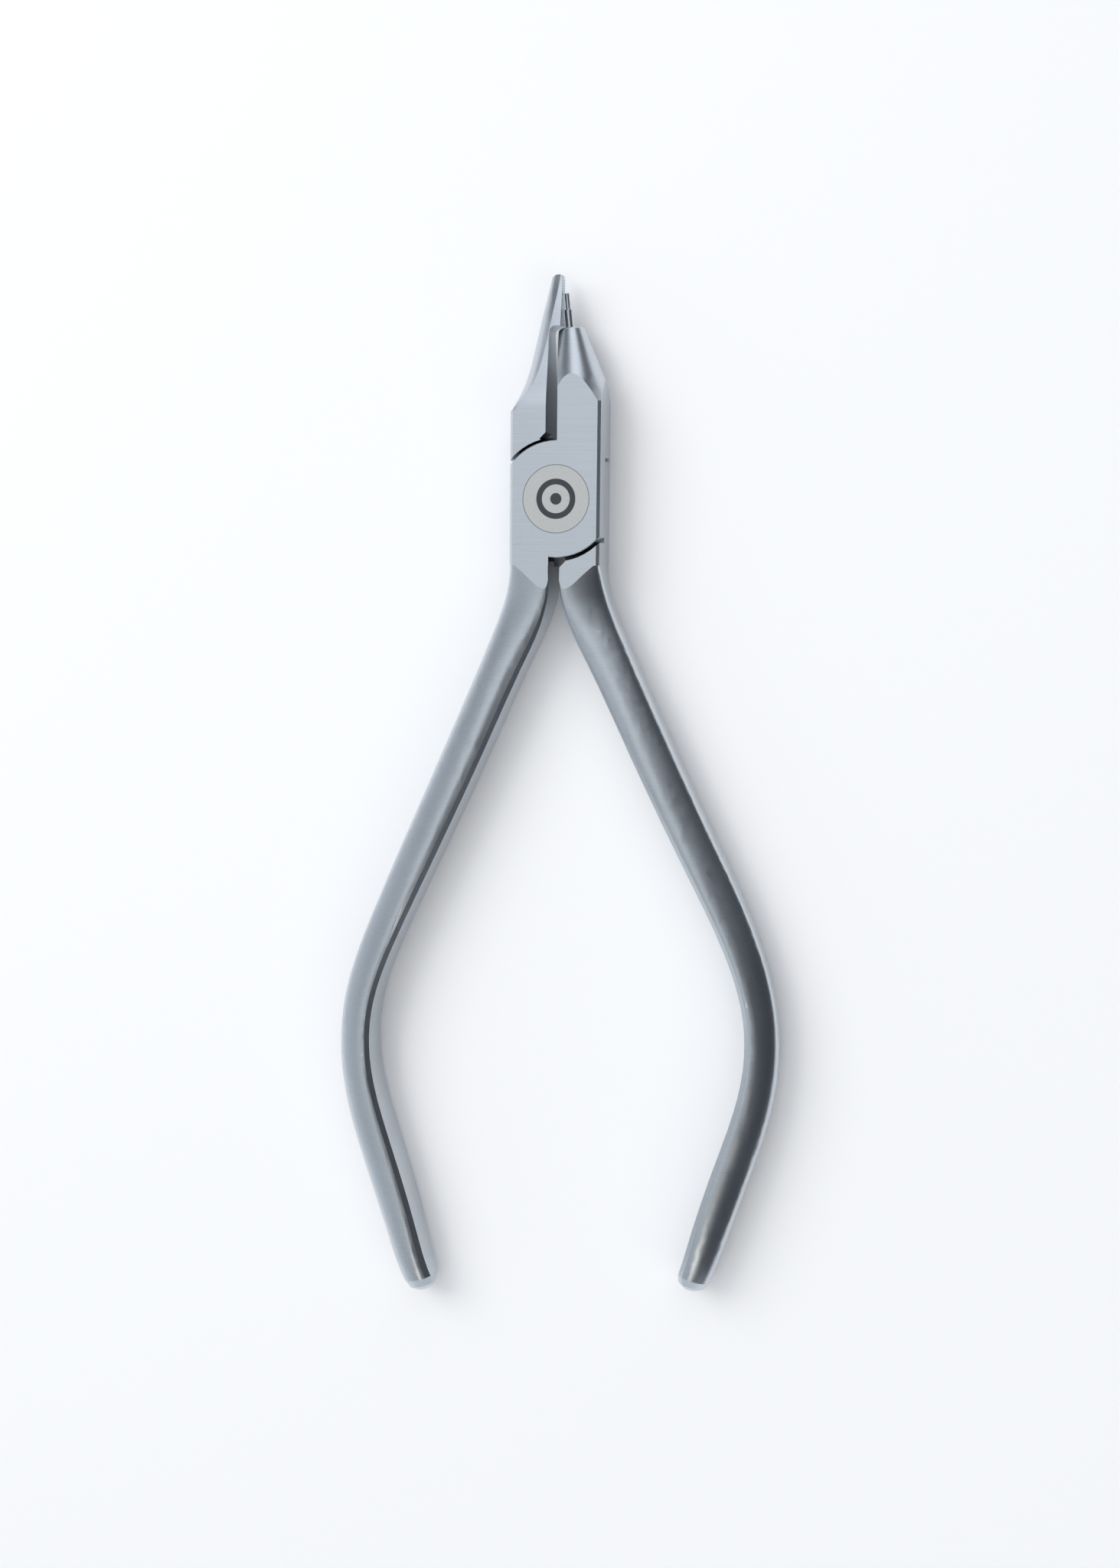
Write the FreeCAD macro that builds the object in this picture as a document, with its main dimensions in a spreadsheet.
"""Stepped-jaw wire-forming pliers with a lap joint: two forged halves and the rivet they turn on.

Frame: millimetres, +Z up, +Y towards the jaws, +X to the right of the stepped jaw's face.
The origin is on the pivot axis, in the plane that the joint's rear face rests on.

Each half is built in a half frame: the same axes, but with Z = 0 in the lap plane, its own
lap plate on +Z, its arm going down and to the left and its jaw up and to the right.  The
serrated half is then turned half a turn about Y, so that the two plates lie face to face.
"""

import FreeCAD, Part

import math
import os

from FreeCAD import Placement, Rotation, Vector

DOC = FreeCAD.newDocument("pliers")

# ---------------------------------------------------------------- driving dimensions, in mm
SHEET = DOC.addObject("Spreadsheet::Sheet", "Dimensions")
DIMENSIONS = [
    ("joint_thick", 6.8, "thickness of the closed lap joint"),
    ("lap_gap", 0.04, "running gap between the two lap plates"),
    ("plate_radius", 7.15, "round ends of each lap plate, about the pivot"),
    ("shoulder_gap", 0.40, "gap between a plate's round end and the other half's shoulder"),
    ("shoulder_drop", 0.10, "centre of the shoulders' arc, below the pivot"),
    ("side_chamfer", 0.36, "flat along the joint's long edges"),
    ("joint_low", 8.1, "pivot down to where the flat joint ends on the outer side"),
    ("edge_break", 0.10, "broken edge on the ends of the lap plates"),
    ("shoulder_corner", 0.75, "corner taken off each shoulder beside the slot"),
    ("half_wide", 5.65, "half the joint's width"),
    ("pivot_offset", 0.20, "pivot to the right of the joint's middle"),
    ("crotch_half", 0.70, "half the gap between the two arms where they leave the joint"),
    ("head_radius", 4.17, "flush head of the rivet"),
    ("head_thick", 1.40, "thickness of that head"),
    ("shank_radius", 2.60, "shank of the rivet"),
    ("running_fit", 0.03, "radial clearance of the shank and head in the front plate"),
    ("tail_radius", 3.50, "spread tail of the rivet at the rear face"),
    ("tail_deep", 0.90, "depth of the countersink that holds the tail"),
    ("cone_top_y", 20.90, "pivot up to the flat top of the conical jaw"),
    ("cone_top_x", 1.05, "centre of that top, to the right of the pivot"),
    ("cone_top_radius", 1.56, "radius of that top"),
    ("cone_angle", 17.6, "half angle of the conical jaw, in degrees"),
    ("cone_round", 0.35, "rounding of the edge of that top"),
    ("cone_lean", 6.2, "lean of the cone and its steps towards the other jaw, in degrees"),
    ("wall_x", 0.07, "wall of the stepped jaw beside the slot, right of the pivot"),
    ("wall_bend_y", 13.2, "pivot up to where that wall starts to lean"),
    ("wall_lean", 4.1, "lean of its upper part, in degrees"),
    ("step_aside", 0.19, "steps set from the cone's axis towards the other jaw"),
    ("big_step_radius", 0.52, "radius of the thick step"),
    ("big_step_long", 2.27, "length of the thick step"),
    ("small_step_radius", 0.31, "radius of the thin step"),
    ("small_step_long", 2.00, "length of the thin step"),
    ("step_round", 0.08, "broken edge on the end of each step"),
    ("grip_face_x", -0.03, "serrated face, left of the pivot in its own half frame"),
    ("grip_low", 21.10, "pivot up to the lower end of the serrated face"),
    ("relief_x", 1.38, "wall of the relief beside the slot, in its own half frame"),
    ("relief_round", 0.80, "inner corner of that relief"),
    ("tip_y", 27.35, "pivot up to the end of the serrated jaw"),
    ("tip_round", 1.20, "radius of the end of the serrated jaw, seen from the front"),
    ("tooth_pitch", 0.31, "pitch of the serrations"),
    ("tooth_deep", 0.12, "depth of the serrations"),
    ("tooth_count", 18, "number of grooves"),
    ("left_splay", 24.35, "angle of the left arm from the joint to its bend, in degrees"),
    ("right_splay", 26.1, "angle of the right arm, in degrees"),
    ("return_angle", 17.4, "angle at which each arm comes back in below the bend, in degrees"),
    ("neck_radius", 11.0, "centre line radius where an arm leaves the joint"),
    ("bend_radius", 32.0, "centre line radius of the grip's bend"),
    ("neck_y", 12.4, "pivot down to the corner of the centre line at the neck"),
    ("left_bend_y", 68.1, "pivot down to the corner of the left arm's centre line"),
    ("right_bend_y", 65.3, "pivot down to the corner of the right arm's centre line"),
    ("left_end_y", 102.9, "pivot down to the end of the left arm"),
    ("right_end_y", 99.8, "pivot down to the end of the right arm"),
    ("end_bevel", 1.7, "length of the bevel on the end of each arm"),
]
for number, (alias, value, meaning) in enumerate(DIMENSIONS, start=1):
    SHEET.set("A%d" % number, alias)
    SHEET.set("B%d" % number, "%g" % value)
    SHEET.set("C%d" % number, meaning)
    SHEET.setAlias("B%d" % number, alias)
DOC.recompute()


def size(alias):
    """The number in the sheet's cell of that name."""
    return float(getattr(SHEET, alias))


X_AXIS = Vector(1, 0, 0)
Y_AXIS = Vector(0, 1, 0)
Z_AXIS = Vector(0, 0, 1)
FAR = 60.0  # reach of the blocks that only trim another shape


# ---------------------------------------------------------------- small builders
def bind(obj, **expressions):
    """Binds an object's properties to expressions on the sheet and returns the object."""
    for name, expression in expressions.items():
        path = name.replace("__", ".")
        obj.setExpression(path, expression)
    return obj


def box(name, low, span):
    """A box from expressions: low corner (x, y, z) and span (x, y, z)."""
    obj = DOC.addObject("Part::Box", name)
    return bind(
        obj,
        Length=span[0],
        Width=span[1],
        Height=span[2],
        Placement__Base__x=low[0],
        Placement__Base__y=low[1],
        Placement__Base__z=low[2],
    )


def cylinder(name, radius, low, height):
    """A cylinder about the pivot axis from expressions: its radius, lowest z and height."""
    obj = DOC.addObject("Part::Cylinder", name)
    return bind(obj, Radius=radius, Height=height, Placement__Base__z=low)


def cut(name, base, *tools):
    """base without each of the tools in turn."""
    for number, tool in enumerate(tools):
        obj = DOC.addObject("Part::Cut", "%s_%d" % (name, number))
        obj.Base, obj.Tool = base, tool
        base = obj
    return base


def common(name, first, second):
    """What two shapes share."""
    obj = DOC.addObject("Part::Common", name)
    obj.Base, obj.Tool = first, second
    return obj


def fuse(name, *parts):
    """The parts as one solid, with their shared faces merged."""
    obj = DOC.addObject("Part::MultiFuse", name)
    obj.Shapes = list(parts)
    obj.Refine = True
    return obj


def edge_feature(kind, name, base, length, chosen):
    """A Part::Chamfer or Part::Fillet of the sheet's size on the edges that chosen() picks."""
    DOC.recompute()
    obj = DOC.addObject("Part::" + kind, name)
    obj.Base = base
    picked = [n for n, e in enumerate(base.Shape.Edges, start=1) if chosen(e)]
    obj.Edges = [(n, size(length), size(length)) for n in picked]
    return obj


# ---------------------------------------------------------------- forged sections
def forged_section(origin, outward, inner, outer, half, crest, facet, fall, power, crease):
    """One closed section of a forged arm or jaw, in the plane of outward and Z.

    inner and outer are its two sides along outward, half is its half thickness at the crest
    and crest the crest's place between the sides, from 0 at the inner one to 1 at the outer.
    The inner side is a flat wall with a narrow facet at each edge.  From the facet the face
    rises to the crest; beyond it the face falls by fall and turns into the outer side as a
    superellipse of that power, where 2 is round and a large power is nearly square.  A crease
    angle above 0 starts that turn with a sharp line instead of smoothly.
    """
    drop = 1.4 * facet
    top = inner + crest * (outer - inner)
    start = inner + facet
    face_points = 5
    turn_points = 14
    face = []
    for n in range(face_points):
        u = start + (top - start) * n / face_points
        rise = (top - u) / (top - inner)
        face.append((u, half - 0.5 * drop * rise * rise))
    first = math.sin(math.radians(crease)) ** (2.0 / power)
    level = math.cos(math.radians(crease)) ** (2.0 / power)
    turn = []
    for n in range(turn_points + 1):
        angle = math.radians(crease + (90.0 - crease) * n / turn_points)
        out = (math.sin(angle) ** (2.0 / power) - first) / (1.0 - first)
        height = max(math.cos(angle), 0.0) ** (2.0 / power) / level
        turn.append((top + (outer - top) * out, (half - fall * out * out) * height))
    turn[-1] = (outer, 0.0)

    def place(u, z):
        return origin + outward * u + Z_AXIS * z

    def mirrored(points):
        return [(u, -z) for u, z in reversed(points)]

    def smooth(points):
        curve = Part.BSplineCurve()
        curve.interpolate([place(u, z) for u, z in points])
        return curve

    wall = face[0][1] - facet
    if crease > 0:
        high = face + turn[:1]
        curves = [smooth(high), smooth(turn + mirrored(turn[:-1])), smooth(mirrored(high))]
    else:
        loop = face + turn
        curves = [smooth(loop + mirrored(loop[:-1]))]
    curves += [
        Part.LineSegment(place(start, -face[0][1]), place(inner, -wall)),
        Part.LineSegment(place(inner, -wall), place(inner, wall)),
        Part.LineSegment(place(inner, wall), place(start, face[0][1])),
    ]
    return Part.Wire([c.toShape() for c in curves])


# ---------------------------------------------------------------- arm
def centre_line(side, offset):
    """An arm's centre line: down, out at the splay, round the bend and back in."""
    splay = math.radians(size(side + "_splay"))
    back = math.radians(size("return_angle"))
    root_x = -(size("half_wide") + size("crotch_half")) / 2.0 - offset
    neck = Vector(root_x, -size("neck_y"), 0)
    down = size(side + "_bend_y") - size("neck_y")
    bend = neck + Vector(-down * math.tan(splay), -down, 0)
    last = size(side + "_end_y") - size(side + "_bend_y")
    end = bend + Vector(last * math.tan(back), -last, 0)
    start = Vector(root_x, -size("joint_low") + 0.1, 0)
    legs = [start, neck, bend, end]
    edges = []
    here = start
    for corner, following, radius in (
        (neck, bend, size("neck_radius")),
        (bend, end, size("bend_radius")),
    ):
        before = (here - corner).normalize()
        after = (following - corner).normalize()
        turn = math.pi - before.getAngle(after)
        reach = radius * math.tan(turn / 2.0)
        arc_in = corner + before * reach
        arc_out = corner + after * reach
        middle = (before + after).normalize()
        crown = corner + middle * (radius / math.cos(turn / 2.0) - radius)
        edges.append(Part.LineSegment(here, arc_in).toShape())
        edges.append(Part.Arc(arc_in, crown, arc_out).toShape())
        here = arc_out
    edges.append(Part.LineSegment(here, legs[-1]).toShape())
    return Part.Wire(edges)


# distance along the arm, width, half thickness, crest, facet, fall, power of the outer side,
# extra stock on the outer side
ARM_STATIONS = [
    (0.0, 4.95, 4.08, 0.05, 0.06, 0.85, 20.0, 0.00),
    (1.7, 4.95, 3.57, 0.05, 0.10, 0.88, 11.0, 0.28),
    (3.6, 4.98, 3.31, 0.10, 0.22, 0.88, 8.5, 0.50),
    (6.5, 5.06, 3.10, 0.24, 0.38, 0.88, 7.5, 0.48),
    (11.0, 5.12, 3.02, 0.34, 0.50, 0.90, 7.0, 0.22),
    (24.0, 5.06, 3.04, 0.33, 0.52, 0.95, 7.0, 0.00),
    (38.0, 4.80, 3.04, 0.27, 0.54, 1.05, 9.0, 0.00),
    (50.0, 4.40, 3.02, 0.22, 0.54, 1.15, 12.0, 0.00),
    (62.0, 4.12, 2.99, 0.20, 0.54, 1.10, 8.0, 0.00),
    (70.0, 4.35, 2.95, 0.20, 0.54, 1.00, 5.0, 0.00),
    (82.0, 4.66, 2.87, 0.22, 0.54, 0.95, 4.5, 0.00),
    (92.0, 4.45, 2.72, 0.28, 0.56, 0.90, 4.2, -0.08),
]
LAST_STATION = (4.30, 2.36, 0.34, 0.58, 0.85, 4.0, -0.34)


def arm_shape(side, offset):
    """The forged arm, taller than the joint at its root, with a bevelled end."""
    line = centre_line(side, offset)
    long = line.Length

    def section(along, values, shrink_wide=0.0, shrink_thick=0.0):
        wide, half, crest, facet, fall, power, extra = values
        point, tangent = point_on(line, along)
        outward = Vector(tangent.y, -tangent.x, 0)
        reach = wide / 2.0 - shrink_wide
        thick = half - shrink_thick
        return forged_section(
            point, outward, -reach, reach + extra, thick, crest, facet, fall, power, 0.0
        )

    bevel = size("end_bevel")
    main_part = [section(s[0], s[1:]) for s in ARM_STATIONS]
    main_part.append(section(long - bevel, LAST_STATION))
    body = Part.makeLoft(main_part, True, False)
    end = Part.makeLoft(
        [
            section(long - bevel, LAST_STATION),
            section(long - 0.35 * bevel, LAST_STATION, 0.30, 0.60),
            section(long, LAST_STATION, 0.85, 1.30),
        ],
        True,
        True,
    )
    return body.fuse(end)


def point_on(wire, along):
    """The point and unit tangent at a distance along a wire of smooth edges."""
    for edge in wire.OrderedEdges:
        if along <= edge.Length + 1e-9:
            parameter = edge.getParameterByLength(min(along, edge.Length))
            forward = edge.valueAt(edge.LastParameter) - edge.valueAt(edge.FirstParameter)
            tangent = edge.tangentAt(parameter)
            if tangent.dot(forward) < 0:
                tangent = tangent * -1
            return edge.valueAt(parameter), tangent
        along -= edge.Length
    raise ValueError("the place is past the end of the centre line")


def feature(name, shape):
    """A Part::Feature that holds a shape worked out in code."""
    obj = DOC.addObject("Part::Feature", name)
    obj.Shape = shape
    return obj


# ---------------------------------------------------------------- what both halves have
def joint_block(name, left, right, top):
    """The joint's block: the full thickness, with its four long edges chamfered."""
    block = box(
        name + "_block",
        ("-(%s)" % left, "-Dimensions.joint_low", "-Dimensions.joint_thick / 2"),
        ("(%s) + (%s)" % (left, right), "Dimensions.joint_low + (%s)" % top, "Dimensions.joint_thick"),
    )

    def long_edge(edge):
        ends = [v.Point for v in edge.Vertexes]
        return abs(ends[0].y - ends[1].y) > 1.0

    return edge_feature("Chamfer", name + "_sides", block, "side_chamfer", long_edge)


def round_end(name, x_low, y_low, high, radius):
    """What is cut away outside a round end: a corner block less the disc about the pivot."""
    block = box(
        name + "_corner",
        (x_low, y_low, "-Dimensions.joint_thick"),
        (str(FAR), high, "2 * Dimensions.joint_thick"),
    )
    disc = cylinder(name + "_disc", radius, "-Dimensions.joint_thick", "2 * Dimensions.joint_thick")
    return cut(name, block, disc)


def shoulder_corner(name, x, y_sign):
    """The prism that takes the corner off a shoulder, on the side away from the plate."""
    side = "Dimensions.shoulder_corner * sqrt(2)"
    obj = DOC.addObject("Part::Box", name)
    bind(obj, Length=side, Width=side, Height="Dimensions.joint_thick")
    radius = size("plate_radius") + size("shoulder_gap")
    corner_y = y_sign * math.sqrt(radius * radius - x * x) - size("shoulder_drop")
    half_diagonal = size("shoulder_corner")
    obj.Placement = Placement(
        Vector(x, corner_y - half_diagonal, -size("joint_thick") - size("lap_gap") / 2.0),
        Rotation(Z_AXIS, 45),
    )
    return obj


def lap_cuts(name, arm_inner, jaw_inner, jaw_high):
    """Everything that is cut from either half at the joint, in its half frame."""
    far_left = "(%s) - %g" % (jaw_inner, FAR)
    plate = "Dimensions.plate_radius"
    above = round_end(name + "_above", far_left, "0", jaw_high, plate)
    below = round_end(name + "_below", arm_inner, "-%g" % FAR, str(FAR), plate)
    recess = cylinder(
        name + "_recess",
        "Dimensions.plate_radius + Dimensions.shoulder_gap",
        "-Dimensions.joint_thick",
        "Dimensions.joint_thick + Dimensions.lap_gap / 2",
    )
    bind(recess, Placement__Base__y="-Dimensions.shoulder_drop")
    return above, below, recess


def ground_arm(name, side):
    """The arm with its root ground flush with the joint's two faces."""
    offset = size("pivot_offset") if side == "left" else -size("pivot_offset")
    arm = feature(name + "_forged", arm_shape(side, offset))
    slab = box(
        name + "_slab",
        (str(-FAR), str(-2 * FAR), "-Dimensions.joint_thick / 2"),
        (str(2 * FAR), str(3 * FAR), "Dimensions.joint_thick"),
    )
    return common(name, arm, slab)


def plate_edge(edge):
    """Whether an edge is the rim of a plate's round end on its ground face."""
    curve = edge.Curve
    if not isinstance(curve, Part.Circle):
        return False
    on_face = abs(curve.Center.z - size("joint_thick") / 2.0) < 1e-3
    return on_face and abs(curve.Radius - size("plate_radius")) < 1e-3


# ---------------------------------------------------------------- the stepped half
def along_jaw(name, kind, distance, sideways=0.0, **sizes):
    """A primitive whose axis runs up the leaning axis of the stepped jaw."""
    lean = math.radians(size("cone_lean"))
    up = Vector(-math.sin(lean), math.cos(lean), 0)
    across = Vector(math.cos(lean), math.sin(lean), 0)
    top = Vector(size("cone_top_x"), size("cone_top_y"), 0)
    obj = DOC.addObject("Part::" + kind, name)
    bind(obj, **sizes)
    obj.Placement = Placement(top + up * distance + across * sideways, Rotation(Z_AXIS, up))
    return obj


def far_rim(edge_height):
    """A test for the circular edge at the far end of a primitive that stands on its base."""

    def chosen(edge):
        if not isinstance(edge.Curve, Part.Circle):
            return False
        lean = math.radians(size("cone_lean"))
        up = Vector(-math.sin(lean), math.cos(lean), 0)
        top = Vector(size("cone_top_x"), size("cone_top_y"), 0)
        return abs((edge.Curve.Center - top).dot(up) - edge_height) < 1e-3

    return chosen


def leaning_wall(name):
    """The block cut away beside the upper part of the stepped jaw's wall, which leans."""
    lean = Rotation(Z_AXIS, size("wall_lean"))
    corner = Vector(size("wall_x"), size("wall_bend_y"), -size("joint_thick"))
    obj = DOC.addObject("Part::Box", name)
    bind(obj, Height="2 * Dimensions.joint_thick")
    obj.Length = FAR
    obj.Width = FAR
    obj.Placement = Placement(corner - lean.multVec(X_AXIS) * FAR, lean)
    return obj


def stepped_half():
    """The half with the front plate, the left arm and the round, stepped jaw."""
    left = "Dimensions.half_wide + Dimensions.pivot_offset"
    right = "Dimensions.half_wide - Dimensions.pivot_offset"
    arm_inner = "-(Dimensions.crotch_half + Dimensions.pivot_offset)"
    jaw_inner = "Dimensions.wall_x"
    block = joint_block("stepped", left, right, "Dimensions.cone_top_y + 0.5")

    down = 14.0  # the cone runs on this far below its top, well inside the joint block
    cone = along_jaw(
        "jaw_cone",
        "Cone",
        -down,
        Radius1="Dimensions.cone_top_radius + %g * tan(Dimensions.cone_angle)" % down,
        Radius2="Dimensions.cone_top_radius",
        Height=str(down),
    )
    cone = edge_feature("Fillet", "jaw_cone_rounded", cone, "cone_round", far_rim(0.0))
    low_block = box(
        "stepped_low",
        (str(-FAR), str(-FAR), "-Dimensions.joint_thick"),
        (str(2 * FAR), "%g + 9" % FAR, "2 * Dimensions.joint_thick"),
    )
    envelope = fuse("stepped_envelope", cone, low_block)
    block = common("stepped_shaped", block, envelope)

    big = along_jaw(
        "thick_step",
        "Cylinder",
        -1.0,
        -size("step_aside"),
        Radius="Dimensions.big_step_radius",
        Height="Dimensions.big_step_long + 1",
    )
    big = edge_feature("Fillet", "thick_step_rounded", big, "step_round", far_rim(size("big_step_long")))
    both = size("big_step_long") + size("small_step_long")
    small = along_jaw(
        "thin_step",
        "Cylinder",
        1.0,
        -size("step_aside"),
        Radius="Dimensions.small_step_radius",
        Height="Dimensions.big_step_long + Dimensions.small_step_long - 1",
    )
    small = edge_feature("Fillet", "thin_step_rounded", small, "step_round", far_rim(both))

    above, below, recess = lap_cuts("stepped", arm_inner, jaw_inner, "Dimensions.wall_bend_y")
    joint = cut("stepped_joint", block, above, below, leaning_wall("stepped_wall"))
    arm = ground_arm("stepped_arm", "left")
    whole = fuse("stepped_whole", joint, arm, big, small)
    head = cylinder(
        "head_seat",
        "Dimensions.head_radius + Dimensions.running_fit",
        "Dimensions.joint_thick / 2 - Dimensions.head_thick - Dimensions.running_fit",
        "Dimensions.joint_thick",
    )
    bore = cylinder(
        "front_bore",
        "Dimensions.shank_radius + Dimensions.running_fit",
        "-Dimensions.joint_thick",
        "2 * Dimensions.joint_thick",
    )
    jaw_corner = shoulder_corner("stepped_jaw_corner", size("wall_x"), 1)
    arm_corner = shoulder_corner(
        "stepped_arm_corner", -size("crotch_half") - size("pivot_offset"), -1
    )
    whole = cut("stepped_cut", whole, recess, head, bore, jaw_corner, arm_corner)
    return edge_feature("Chamfer", "stepped_done", whole, "edge_break", plate_edge)


# ---------------------------------------------------------------- the serrated half
# height above the pivot, edge of the flat face, outer side, half thickness, power, crease
JAW_STATIONS = [
    (10.70, 5.43, 5.85, 3.400, 6.0, 8.0),
    (12.20, 4.30, 5.28, 3.330, 3.0, 16.0),
    (13.40, 3.46, 4.82, 3.120, 2.4, 19.0),
    (15.50, 2.50, 4.14, 2.690, 2.2, 22.0),
    (18.50, 1.78, 3.42, 2.210, 2.1, 25.0),
    (22.50, 1.08, 2.52, 1.480, 2.1, 26.0),
    (27.60, 0.22, 1.32, 0.720, 2.1, 26.0),
]


def serrated_jaw():
    """The tapering jaw: flat inside and in front, rounded outside, thinner towards its tip."""
    inner = size("grip_face_x")
    facet = 0.04
    sections = []
    for y, edge, outer, half, power, crease in JAW_STATIONS:
        crest = (edge - inner) / (outer - inner)
        sections.append(
            forged_section(
                Vector(0, y, 0), X_AXIS, inner, outer, half, crest, facet, 0.0, power, crease
            )
        )
    return Part.makeLoft(sections, True, False)


def tooth_grooves():
    """The V grooves of the serrated face, as square bars set on their corners."""
    grooves = []
    for number in range(int(size("tooth_count"))):
        bar = DOC.addObject("Part::Box", "groove_%02d" % number)
        side = "Dimensions.tooth_deep * sqrt(2)"
        bind(bar, Length=side, Width=side, Height="2 * Dimensions.joint_thick")
        y = size("grip_low") + 0.25 + number * size("tooth_pitch")
        bar.Placement = Placement(
            Vector(size("grip_face_x"), y - size("tooth_deep"), -size("joint_thick")),
            Rotation(Z_AXIS, 45),
        )
        grooves.append(bar)
    return grooves


def relief_pocket():
    """The pocket that sets the jaw's inner side back between the slot and the serrations."""
    pocket = box(
        "relief_block",
        ("-%g" % FAR, "0", "-Dimensions.joint_thick"),
        ("%g + Dimensions.relief_x" % FAR, "Dimensions.grip_low", "2 * Dimensions.joint_thick"),
    )

    def inner_corner(edge):
        ends = [v.Point for v in edge.Vertexes]
        upright = abs(ends[0].z - ends[1].z) > 1.0
        high = ends[0].y > size("grip_low") - 1e-3
        return upright and high and ends[0].x > 0

    return edge_feature("Fillet", "relief_rounded", pocket, "relief_round", inner_corner)


def serrated_half():
    """The half with the rear plate, the right arm and the serrated jaw, in its half frame."""
    left = "Dimensions.half_wide - Dimensions.pivot_offset"
    right = "Dimensions.half_wide + Dimensions.pivot_offset"
    arm_inner = "-(Dimensions.crotch_half - Dimensions.pivot_offset)"
    jaw_inner = "Dimensions.relief_x"
    block = joint_block("serrated", left, right, str(JAW_STATIONS[0][0] + 0.05))
    above, below, recess = lap_cuts("serrated", arm_inner, jaw_inner, str(FAR))
    joint = cut("serrated_joint", block, above, below)

    jaw = feature("serrated_jaw", serrated_jaw())
    tip_y = "Dimensions.tip_y - Dimensions.tip_round"
    tip_block = box(
        "tip_block",
        (str(-FAR), tip_y, "-Dimensions.joint_thick"),
        (str(2 * FAR), str(FAR), "2 * Dimensions.joint_thick"),
    )
    tip_disc = cylinder(
        "tip_disc", "Dimensions.tip_round", "-Dimensions.joint_thick", "2 * Dimensions.joint_thick"
    )
    bind(tip_disc, Placement__Base__y=tip_y)
    tip_disc.setExpression("Placement.Base.x", "Dimensions.grip_face_x + 0.58")
    jaw = cut("jaw_cut", jaw, relief_pocket(), cut("tip_waste", tip_block, tip_disc), *tooth_grooves())

    arm = ground_arm("serrated_arm", "right")
    whole = fuse("serrated_whole", joint, arm, jaw)
    bore = cylinder(
        "rear_bore", "Dimensions.shank_radius", "-Dimensions.joint_thick", "2 * Dimensions.joint_thick"
    )
    jaw_corner = shoulder_corner("serrated_jaw_corner", size("relief_x"), 1)
    arm_corner = shoulder_corner(
        "serrated_arm_corner", -size("crotch_half") + size("pivot_offset"), -1
    )
    whole = cut("serrated_cut", whole, recess, bore, tail_cone("tail_seat"), jaw_corner, arm_corner)
    return edge_feature("Chamfer", "serrated_done", whole, "edge_break", plate_edge)


# ---------------------------------------------------------------- the rivet
def tail_cone(name):
    """The countersink in the serrated half's ground face, and the tail that fills it."""
    obj = DOC.addObject("Part::Cone", name)
    return bind(
        obj,
        Radius1="Dimensions.shank_radius",
        Radius2="Dimensions.tail_radius",
        Height="Dimensions.tail_deep",
        Placement__Base__z="Dimensions.joint_thick / 2 - Dimensions.tail_deep",
    )


def rivet():
    """The pivot rivet, in the stepped half's frame: flush head, shank and spread tail."""
    head = cylinder(
        "rivet_head",
        "Dimensions.head_radius",
        "Dimensions.joint_thick / 2 - Dimensions.head_thick",
        "Dimensions.head_thick",
    )
    shank = cylinder(
        "rivet_shank",
        "Dimensions.shank_radius",
        "-Dimensions.joint_thick / 2",
        "Dimensions.joint_thick - 0.5 * Dimensions.head_thick",
    )
    tail = tail_cone("rivet_tail")
    tail.setExpression("Placement.Base.z", "Dimensions.tail_deep - Dimensions.joint_thick / 2")
    tail.Placement = Placement(tail.Placement.Base, Rotation(X_AXIS, 180))
    return fuse("rivet_done", head, shank, tail)


# ---------------------------------------------------------------- nodes
def node(label, source, placement):
    """The finished sub-part: the source's solid, placed in the row frame."""
    DOC.recompute()
    obj = DOC.addObject("Part::Feature", label)
    obj.Label = label
    obj.Shape = source.Shape.copy()
    obj.Placement = placement
    return obj


def main():
    rise = Vector(0, 0, size("joint_thick") / 2.0)
    as_built = Placement(rise, Rotation())
    turned = Placement(rise, Rotation(Y_AXIS, 180))
    nodes = [
        node("stepped_jaw_half", stepped_half(), as_built),
        node("serrated_jaw_half", serrated_half(), turned),
        node("pivot_rivet", rivet(), as_built),
    ]
    DOC.recompute()
    failed = [o.Name for o in DOC.Objects if {"Invalid", "Error"} & set(o.State)]
    if failed:
        raise RuntimeError("failed objects: %s" % failed)
    os.makedirs("parts", exist_ok=True)
    for obj in nodes:
        shape = obj.Shape
        if shape.isNull() or not shape.isValid() or shape.Volume <= 0:
            raise RuntimeError("%s is not a valid solid" % obj.Label)
        shape.exportStep("parts/%s.step" % obj.Label)
        box_of = shape.BoundBox
        print(
            "%-18s %2d solid  %8.1f mm3  x %.2f..%.2f  y %.2f..%.2f  z %.2f..%.2f"
            % (obj.Label, len(shape.Solids), shape.Volume, box_of.XMin, box_of.XMax,
               box_of.YMin, box_of.YMax, box_of.ZMin, box_of.ZMax)
        )


main()
